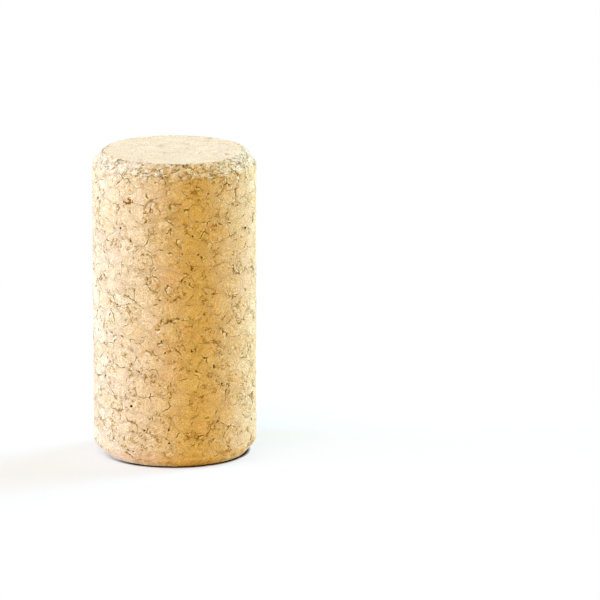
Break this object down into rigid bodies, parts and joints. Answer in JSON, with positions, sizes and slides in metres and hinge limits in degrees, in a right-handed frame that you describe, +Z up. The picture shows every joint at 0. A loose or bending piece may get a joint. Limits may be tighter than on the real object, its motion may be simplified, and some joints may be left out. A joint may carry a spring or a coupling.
{
  "type": "wine cork",
  "caption": "Straight bottle stopper of bonded cork granules, a ground cylinder with both ends chamfered and flat.",
  "frame": {"origin": "centre of the lower end face, which the cork stands on", "axes": "+Z up the cork's axis, towards the upper end face; the cork is round, so X and Y are any two directions across it"},
  "size_m": [0.024, 0.024, 0.045],
  "materials": {
    "cork_granules": "ground, matte"
  },
  "bodies": {
    "root": {"cork": "cork_granules"}
  },
  "joints": []
}
